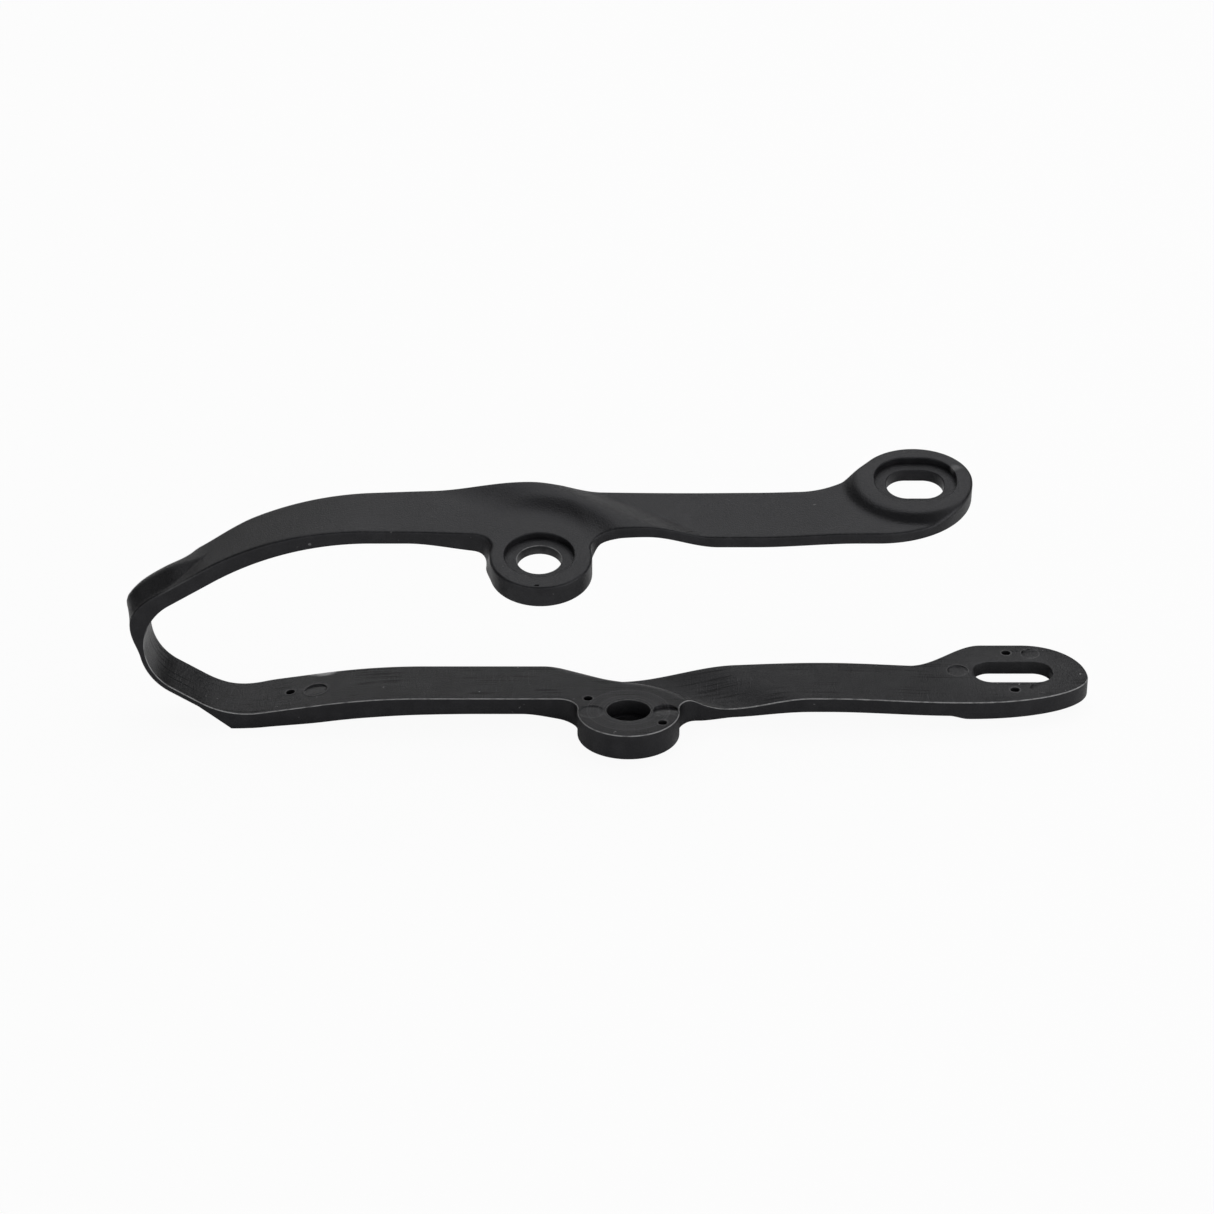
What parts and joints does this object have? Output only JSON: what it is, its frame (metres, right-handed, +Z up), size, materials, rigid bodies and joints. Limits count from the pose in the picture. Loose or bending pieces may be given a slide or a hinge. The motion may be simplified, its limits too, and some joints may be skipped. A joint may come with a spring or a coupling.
{
  "type": "chain slider",
  "caption": "Black moulded chain slider: a long U-shaped strap that wraps the front of a swingarm, with bolt bosses along its arms and slotted lobes at its open ends.",
  "frame": {"origin": "middle of the bounding box in X and Y, at its lowest point in Z", "axes": "+X runs along both arms from the closed nose to the open rear ends, +Y runs across the strap from the edge with the bolt bosses to the plain edge, +Z is up from the lower arm to the upper arm"},
  "size_m": [0.2898, 0.062, 0.0769],
  "materials": {
    "chain_slider": "satin black, moulded"
  },
  "bodies": {
    "root": {"chain_slider": "chain_slider"}
  },
  "joints": []
}
